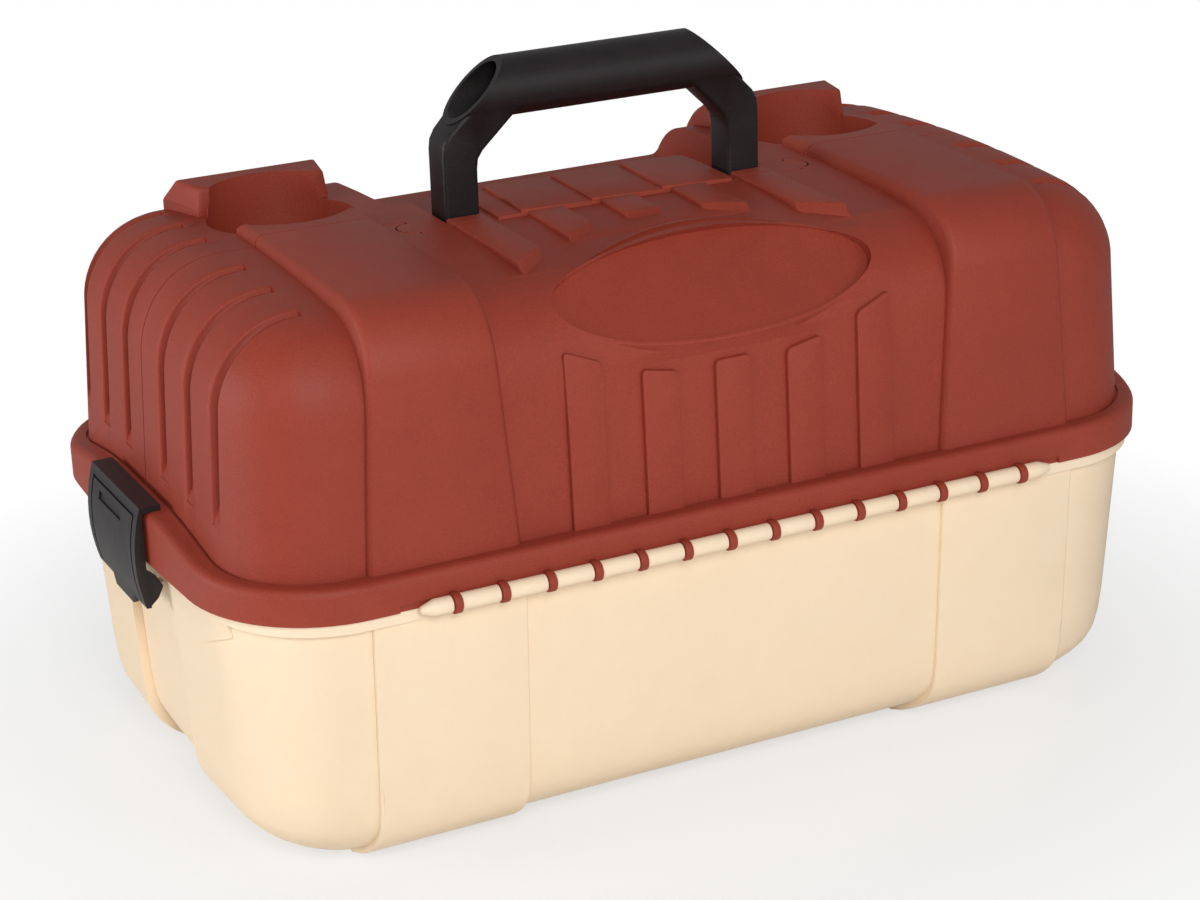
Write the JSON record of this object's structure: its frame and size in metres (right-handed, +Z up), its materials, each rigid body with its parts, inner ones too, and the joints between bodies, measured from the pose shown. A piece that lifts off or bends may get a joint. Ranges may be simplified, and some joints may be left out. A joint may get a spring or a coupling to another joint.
{
  "type": "hip-roof tackle box",
  "caption": "Hip-roof tackle box with two lids that open outwards, stepped cantilever trays on steel arms, fold-down handle and end latches.",
  "frame": {"origin": "centre of the footprint, on the surface that the feet stand on", "axes": "+X along the length, towards the right-hand latch in the picture; +Y from the front lid to the rear lid; +Z up"},
  "size_m": [0.5524, 0.324, 0.3655],
  "materials": {
    "lid_plastic": "fine-grained brown-red moulded plastic",
    "base_plastic": "fine-grained cream moulded plastic",
    "black_plastic": "black moulded plastic",
    "tray_plastic": "cream moulded plastic",
    "divider_plastic": "black moulded plastic",
    "arm_steel": "zinc-plated steel strip",
    "pin_steel": "bright steel wire"
  },
  "bodies": {
    "base": {"base_tub": "base_plastic", "arm_base_pins": "pin_steel", "front_hinge_pin": "pin_steel", "rear_hinge_pin": "pin_steel", "left_latch_pin": "pin_steel", "right_latch_pin": "pin_steel"},
    "front_lid": {"front_lid": "lid_plastic"},
    "rear_lid": {"rear_lid": "lid_plastic", "handle_pins": "pin_steel"},
    "handle": {"handle": "black_plastic"},
    "left_latch": {"left_latch": "black_plastic"},
    "right_latch": {"right_latch": "black_plastic"},
    "front_low_tray": {"front_low_tray": "tray_plastic", "front_low_dividers": "divider_plastic", "front_low_pins": "pin_steel"},
    "front_mid_tray": {"front_mid_tray": "tray_plastic", "front_mid_dividers": "divider_plastic", "front_mid_pins": "pin_steel"},
    "front_top_tray": {"front_top_tray": "tray_plastic", "front_top_dividers": "divider_plastic", "front_top_pins": "pin_steel"},
    "front_lower_arm_outer": {"front_lower_arm_outer": "arm_steel"},
    "front_lower_arm_inner": {"front_lower_arm_inner": "arm_steel"},
    "front_upper_arm_outer": {"front_upper_arm_outer": "arm_steel"},
    "front_upper_arm_inner": {"front_upper_arm_inner": "arm_steel"},
    "rear_low_tray": {"rear_low_tray": "tray_plastic", "rear_low_dividers": "divider_plastic", "rear_low_pins": "pin_steel"},
    "rear_mid_tray": {"rear_mid_tray": "tray_plastic", "rear_mid_dividers": "divider_plastic", "rear_mid_pins": "pin_steel"},
    "rear_top_tray": {"rear_top_tray": "tray_plastic", "rear_top_dividers": "divider_plastic", "rear_top_pins": "pin_steel"},
    "rear_lower_arm_outer": {"rear_lower_arm_outer": "arm_steel"},
    "rear_lower_arm_inner": {"rear_lower_arm_inner": "arm_steel"},
    "rear_upper_arm_outer": {"rear_upper_arm_outer": "arm_steel"},
    "rear_upper_arm_inner": {"rear_upper_arm_inner": "arm_steel"}
  },
  "joints": [
    {"name": "front_lid_hinge", "type": "hinge", "parent": "base", "child": "front_lid", "pos_m": [0, -0.1568, 0.149], "axis": [1, 0, 0], "range_deg": [0, 176]},
    {"name": "rear_lid_hinge", "type": "hinge", "parent": "base", "child": "rear_lid", "pos_m": [0, 0.1568, 0.149], "axis": [-1, 0, 0], "range_deg": [0, 176]},
    {"name": "handle_hinge", "type": "hinge", "parent": "rear_lid", "child": "handle", "pos_m": [0, 0, 0.277], "axis": [-1, 0, 0], "range_deg": [0, 90]},
    {"name": "left_latch_hinge", "type": "hinge", "parent": "base", "child": "left_latch", "pos_m": [-0.2685, 0, 0.127], "axis": [0, -1, 0], "range_deg": [0, 110]},
    {"name": "right_latch_hinge", "type": "hinge", "parent": "base", "child": "right_latch", "pos_m": [0.2685, 0, 0.127], "axis": [0, 1, 0], "range_deg": [0, 110]},
    {"name": "front_lower_arm_outer_pivot", "type": "hinge", "parent": "base", "child": "front_lower_arm_outer", "pos_m": [0, -0.12, 0.1383], "axis": [1, 0, 0], "range_deg": [0, 88]},
    {"name": "front_lower_arm_inner_pivot", "type": "hinge", "parent": "base", "child": "front_lower_arm_inner", "pos_m": [0, -0.104, 0.1383], "axis": [1, 0, 0], "range_deg": [0, 88]},
    {"name": "front_low_tray_pivot", "type": "hinge", "parent": "front_lower_arm_outer", "child": "front_low_tray", "pos_m": [0, -0.07525, 0.1685], "axis": [1, 0, 0], "range_deg": [-88, 0]},
    {"name": "front_mid_tray_pivot", "type": "hinge", "parent": "front_lower_arm_outer", "child": "front_mid_tray", "pos_m": [0, -0.0305, 0.1987], "axis": [1, 0, 0], "range_deg": [-88, 0]},
    {"name": "front_upper_arm_outer_pivot", "type": "hinge", "parent": "front_low_tray", "child": "front_upper_arm_outer", "pos_m": [0, -0.114, 0.1685], "axis": [1, 0, 0], "range_deg": [0, 88]},
    {"name": "front_upper_arm_inner_pivot", "type": "hinge", "parent": "front_low_tray", "child": "front_upper_arm_inner", "pos_m": [0, -0.099, 0.1685], "axis": [1, 0, 0], "range_deg": [0, 88]},
    {"name": "front_top_tray_pivot", "type": "hinge", "parent": "front_upper_arm_outer", "child": "front_top_tray", "pos_m": [0, -0.0245, 0.2289], "axis": [1, 0, 0], "range_deg": [-88, 0]},
    {"name": "rear_lower_arm_outer_pivot", "type": "hinge", "parent": "base", "child": "rear_lower_arm_outer", "pos_m": [0, 0.12, 0.1383], "axis": [-1, 0, 0], "range_deg": [0, 88]},
    {"name": "rear_lower_arm_inner_pivot", "type": "hinge", "parent": "base", "child": "rear_lower_arm_inner", "pos_m": [0, 0.104, 0.1383], "axis": [-1, 0, 0], "range_deg": [0, 88]},
    {"name": "rear_low_tray_pivot", "type": "hinge", "parent": "rear_lower_arm_outer", "child": "rear_low_tray", "pos_m": [0, 0.07525, 0.1685], "axis": [-1, 0, 0], "range_deg": [-88, 0]},
    {"name": "rear_mid_tray_pivot", "type": "hinge", "parent": "rear_lower_arm_outer", "child": "rear_mid_tray", "pos_m": [0, 0.0305, 0.1987], "axis": [-1, 0, 0], "range_deg": [-88, 0]},
    {"name": "rear_upper_arm_outer_pivot", "type": "hinge", "parent": "rear_low_tray", "child": "rear_upper_arm_outer", "pos_m": [0, 0.114, 0.1685], "axis": [-1, 0, 0], "range_deg": [0, 88]},
    {"name": "rear_upper_arm_inner_pivot", "type": "hinge", "parent": "rear_low_tray", "child": "rear_upper_arm_inner", "pos_m": [0, 0.099, 0.1685], "axis": [-1, 0, 0], "range_deg": [0, 88]},
    {"name": "rear_top_tray_pivot", "type": "hinge", "parent": "rear_upper_arm_outer", "child": "rear_top_tray", "pos_m": [0, 0.0245, 0.2289], "axis": [-1, 0, 0], "range_deg": [-88, 0]}
  ],
  "couplings": [
    {"joint": "front_lower_arm_outer_pivot", "follows": "front_lid_hinge", "ratio": 0.5},
    {"joint": "front_lower_arm_inner_pivot", "follows": "front_lid_hinge", "ratio": 0.5},
    {"joint": "front_low_tray_pivot", "follows": "front_lid_hinge", "ratio": -0.5},
    {"joint": "front_mid_tray_pivot", "follows": "front_lid_hinge", "ratio": -0.5},
    {"joint": "front_upper_arm_outer_pivot", "follows": "front_lid_hinge", "ratio": 0.5},
    {"joint": "front_upper_arm_inner_pivot", "follows": "front_lid_hinge", "ratio": 0.5},
    {"joint": "front_top_tray_pivot", "follows": "front_lid_hinge", "ratio": -0.5},
    {"joint": "rear_lower_arm_outer_pivot", "follows": "rear_lid_hinge", "ratio": 0.5},
    {"joint": "rear_lower_arm_inner_pivot", "follows": "rear_lid_hinge", "ratio": 0.5},
    {"joint": "rear_low_tray_pivot", "follows": "rear_lid_hinge", "ratio": -0.5},
    {"joint": "rear_mid_tray_pivot", "follows": "rear_lid_hinge", "ratio": -0.5},
    {"joint": "rear_upper_arm_outer_pivot", "follows": "rear_lid_hinge", "ratio": 0.5},
    {"joint": "rear_upper_arm_inner_pivot", "follows": "rear_lid_hinge", "ratio": 0.5},
    {"joint": "rear_top_tray_pivot", "follows": "rear_lid_hinge", "ratio": -0.5}
  ]
}
